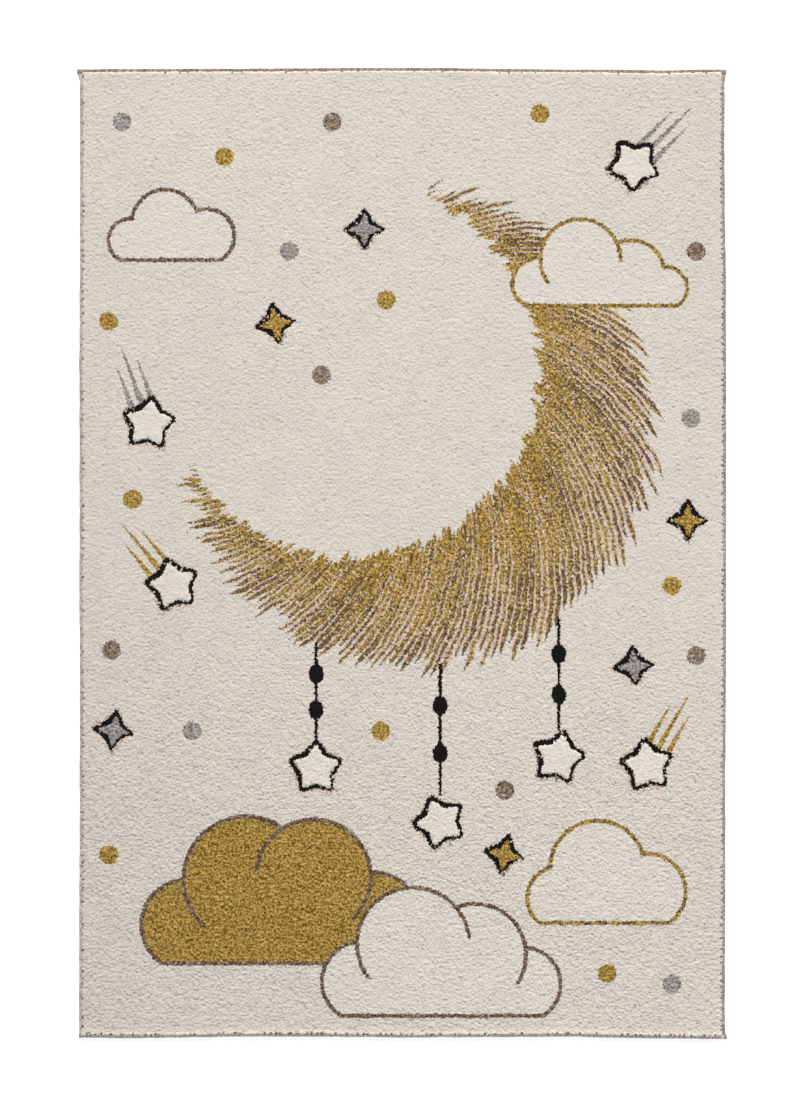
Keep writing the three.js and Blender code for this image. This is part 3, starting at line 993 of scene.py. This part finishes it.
def serging(side, material):
    """Yarn wound round one side of the rug in slanting turns, with dark loops of needle thread."""
    node = f"binding_{side}"
    along, across = (0, 1) if side in ("top", "bottom") else (1, 0)
    sign = 1 if side in ("top", "right") else -1
    low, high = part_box(node)
    steps = round((high[along] - low[along]) / YARN_PITCH * STEPS_PER_TURN)
    s = np.linspace(low[along], high[along], steps + 1)
    inner = edge(side, s) - sign * BINDING_WIDTH
    outer = np.interp(s, *LINES[side])
    window = SLACK["steps"]
    slack = np.convolve(rng.standard_normal(steps + window), np.ones(window), "valid")
    slack = np.clip(normalised(slack), -SLACK["limit"], SLACK["limit"])
    outer = outer + sign * SLACK["by"] * slack

    theta = np.linspace(0, 2 * math.pi, SECTION_POINTS, endpoint=False)
    slant = TURN_SLANT["up"] * np.sin(theta), TURN_SLANT["across"] * np.cos(theta)
    turn = s[:, None] / YARN_PITCH + slant[0] + slant[1]
    ridge = np.abs(np.sin(math.pi * turn)) ** RIDGE_ROUNDNESS
    swell = np.ones(steps + 1)
    if along == 0:
        swell = np.interp(np.minimum(s - s[0], s[-1] - s), YARN_END["back"], YARN_END["swell"])
    half = np.abs(outer - inner)[:, None] / 2
    tall = BINDING_HEIGHT / 2
    lift = YARN_RIDGE * (ridge - 1)
    middle = (outer + inner)[:, None] / 2

    places = np.zeros((steps + 1, SECTION_POINTS, 3))
    uneven = YARN_JITTER * rng.standard_normal((steps + 1, SECTION_POINTS))
    places[..., along] = s[:, None] + uneven
    places[..., across] = middle + sign * (half + lift) * boxy(np.cos(theta)) * swell[:, None]
    places[..., 2] = np.maximum(tall + (tall + lift) * boxy(np.sin(theta)), 0) * swell[:, None]
    faces = wound_faces(steps, (sign > 0) != (along == 1))
    piece = new_mesh(f"serging_{side}", places.reshape(-1, 3), faces)

    colours = serging_colours(side, s, theta, turn, ridge)
    set_colours(piece, "yarn", "POINT", colours.reshape(-1, 3))
    set_map(piece, folded_map(steps))
    return finished(piece, material, "serging", node)


def serging_colours(side, s, theta, turn, ridge):
    """Colours of the wound yarn: turns of two tones, with painted shade between them, with loops across
    its top.
    """
    style = SERGED[side]
    light, dark, loop = (linear(style[name]) for name in ("light", "dark", "loop"))
    turns = np.floor(turn - turn.min()).astype(int)
    turn_count = turns.max() + 1
    slow = normalised(smoothed(rng.standard_normal((1, turn_count)), TURN_TONE["passes"]))[0]
    tone = TURN_TONE["mean"] + TURN_TONE["own"] * rng.standard_normal(turn_count)
    tone = tone + TURN_TONE["slow"] * slow
    # painted shade in the groove between two turns
    share = np.clip(tone[turns], 0, 1) * (BETWEEN_TURNS + (1 - BETWEEN_TURNS) * ridge)
    colours = dark + share[..., None] * (light - dark)

    loop_count = int((s[-1] - s[0]) / style["apart"])
    place = np.arange(loop_count) + LOOP["uneven"] * rng.random(loop_count)
    loops = s[0] + style["apart"] * place
    near = np.abs(s[:, None] - loops).min(1) < LOOP["reach"]
    on_top = (np.abs(np.cos(theta) - LOOP["at"]) < LOOP["half"]) & (np.sin(theta) > 0)
    on = near[:, None] & on_top
    colours = np.where(on[..., None], loop, colours)

    for loose, back in zip(LOOSE_ENDS.get(side, ()), (s - s[0], s[-1] - s)):
        weight = LOOSE_SHARE["most"] * np.clip(LOOSE_SHARE["start"] - back / LOOSE_REACH, 0, 1)
        colours = colours + weight[:, None, None] * (linear(loose) - colours)
    return colours


def folded_map(steps):
    """A map of a long wound strip, folded into rows so that it fills the picture."""
    per_row = math.ceil(steps / MAP_ROWS)
    step = np.repeat(np.arange(steps), SECTION_POINTS)
    ring = np.tile(np.arange(SECTION_POINTS), steps)
    row = step // per_row
    left = (step % per_row) / per_row
    right = left + 1 / per_row
    low = (row + MAP_GAP + MAP_FILL * ring / SECTION_POINTS) / MAP_ROWS
    high = low + MAP_FILL / SECTION_POINTS / MAP_ROWS
    corners = np.stack([left, low, left, high, right, high, right, low], 1)
    ends = MAP_SPOT + MAP_SPOT * rng.random((2 * SECTION_POINTS, 2))
    return np.concatenate([corners.reshape(-1, 2), ends])


def ground(material):
    """The woven ground under the pile: a level underside, and a bare rim that the serging holds."""
    profile = [
        (PILE_ROOT_INSET, 0.0), (PILE_ROOT_INSET, RIM_LOW), (RIM_INSET, RIM_LOW),
        (RIM_INSET, RIM_HIGH), (PILE_ROOT_INSET, RIM_HIGH), (PILE_ROOT_INSET, GROUND_TOP),
    ]
    share = np.arange(GROUND_STEPS) / GROUND_STEPS
    ones = np.ones(GROUND_STEPS)
    u = np.concatenate([share, ones, 1 - share, 0 * ones])
    v = np.concatenate([0 * ones, share, ones, 1 - share])
    rings = []
    for inset, z in profile:
        x, y = in_outline(u, v, dict.fromkeys(PILE_INSETS, inset))
        rings.append(np.stack([x, y, np.full(len(x), z)], 1))
    ring = np.arange(len(u))
    nxt = (ring + 1) % len(u)
    walls = []
    for level in range(len(profile) - 1):
        low, high = level * len(u), (level + 1) * len(u)
        walls.append(np.stack([low + ring, low + nxt, high + nxt, high + ring], 1))
    caps = [ring[::-1][None, :], ring[None, :] + (len(profile) - 1) * len(u)]
    piece = new_mesh("ground_weave", np.concatenate(rings), [np.concatenate(walls), *caps])
    set_colours(piece, "yarn", "POINT", np.tile(linear(JUTE), (len(profile) * len(u), 1)))
    finished(piece, material, "ground_weave", "rug_body")


# Floor, just below the rug, and light: lamps with how they are turned and how wide they are, in degrees
FLOOR_SIZE = 14
FLOOR_HEIGHT = -0.0002
FLOOR_LOOK = {
    "Base Color": (0.92, 0.92, 0.92, 1), "Roughness": 0.9,
    "Emission Color": (1, 1, 1, 1), "Emission Strength": 0.5,
}
SURROUNDINGS = {"Color": (1, 1, 1, 1), "Strength": 0.40}
LAMPS = [
    {"name": "key", "turned": (-52, 0, -4), "wide": 18, "strength": 2.85},
    {"name": "fill", "turned": (30, 0, 20), "wide": 60, "strength": 0.2},
]
LAMP_HEIGHT = 2

# Camera: how the photo shows the rug, 1.8 m long in 970.4 of its pixels
PHOTO_WIDE, PHOTO_TALL = 800, 1109
RUG_MIDDLE_PIXEL = (402.4, 553.1)
METRES_PER_PIXEL = 1.8 / 970.4
LENS = 120
SENSOR = 36
CLIP_END = 100


def studio():
    """A pale floor, even light all round, and two lamps."""
    bpy.ops.mesh.primitive_plane_add(size=FLOOR_SIZE, location=(0, 0, FLOOR_HEIGHT))
    floor = bpy.context.object
    floor.name = "floor"
    floor.data.materials.append(shader_material("floor", FLOOR_LOOK))

    world = bpy.data.worlds.new("studio")
    world.use_nodes = True
    for socket, value in SURROUNDINGS.items():
        world.node_tree.nodes["Background"].inputs[socket].default_value = value
    bpy.context.scene.world = world

    for light in LAMPS:
        data = bpy.data.lights.new(light["name"], "SUN")
        data.angle = math.radians(light["wide"])
        data.energy = light["strength"]
        lamp = bpy.data.objects.new(light["name"], data)
        lamp.location = (0, 0, LAMP_HEIGHT)
        lamp.rotation_euler = [math.radians(a) for a in light["turned"]]
        bpy.context.scene.collection.objects.link(lamp)


def camera():
    """A long lens straight above the rug, with the rug where the photo has it."""
    data = bpy.data.cameras.new("camera")
    data.lens = LENS
    data.sensor_width = SENSOR
    data.clip_end = CLIP_END
    cam = bpy.data.objects.new("camera", data)
    across = (PHOTO_WIDE / 2 - RUG_MIDDLE_PIXEL[0]) * METRES_PER_PIXEL
    up = (RUG_MIDDLE_PIXEL[1] - PHOTO_TALL / 2) * METRES_PER_PIXEL
    away = PHOTO_TALL * METRES_PER_PIXEL * LENS / SENSOR
    cam.location = (ORIGIN[0] + across, ORIGIN[1] + up, PILE_TOP + away)
    bpy.context.scene.collection.objects.link(cam)
    bpy.context.scene.camera = cam


bpy.context.scene.view_settings.view_transform = "Standard"
studio()
camera()

pile = pile_strips(pile_material())
yarn = serging_material()
edges = [serging(side, yarn) for side in SERGED]
ground(ground_material())
